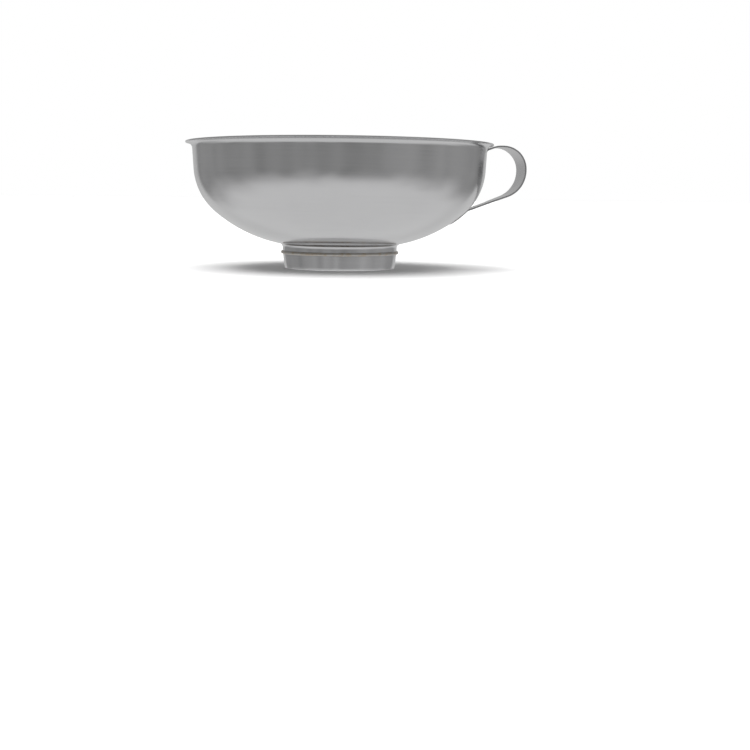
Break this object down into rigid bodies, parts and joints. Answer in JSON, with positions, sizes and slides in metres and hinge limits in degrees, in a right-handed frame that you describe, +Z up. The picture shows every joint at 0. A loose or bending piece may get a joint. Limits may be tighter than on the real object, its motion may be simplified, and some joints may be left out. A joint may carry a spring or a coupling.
{
  "type": "canning funnel",
  "caption": "Wide round-bottomed sheet-steel bowl with a flared lip, a short tapered neck that drops into a jar mouth, and a bent strap handle on one side.",
  "frame": {"origin": "on the funnel's axis, at the mouth (the open lower end) of the neck", "axes": "+Z up along the axis towards the bowl's lip; +X towards the handle"},
  "size_m": [0.1621, 0.146, 0.0591],
  "materials": {
    "bowl_steel": "satin polished stainless sheet",
    "neck_steel": "satin polished stainless sheet",
    "strap_steel": "satin stainless strip, brushed along its length",
    "weld_steel": "cleaned weld metal, duller than the sheet"
  },
  "bodies": {
    "root": {"bowl": "bowl_steel", "neck": "neck_steel", "neck_seam": "weld_steel", "handle_strap": "strap_steel", "spot_weld_upper_front": "weld_steel", "spot_weld_upper_back": "weld_steel", "spot_weld_lower_front": "weld_steel", "spot_weld_lower_back": "weld_steel"}
  },
  "joints": []
}
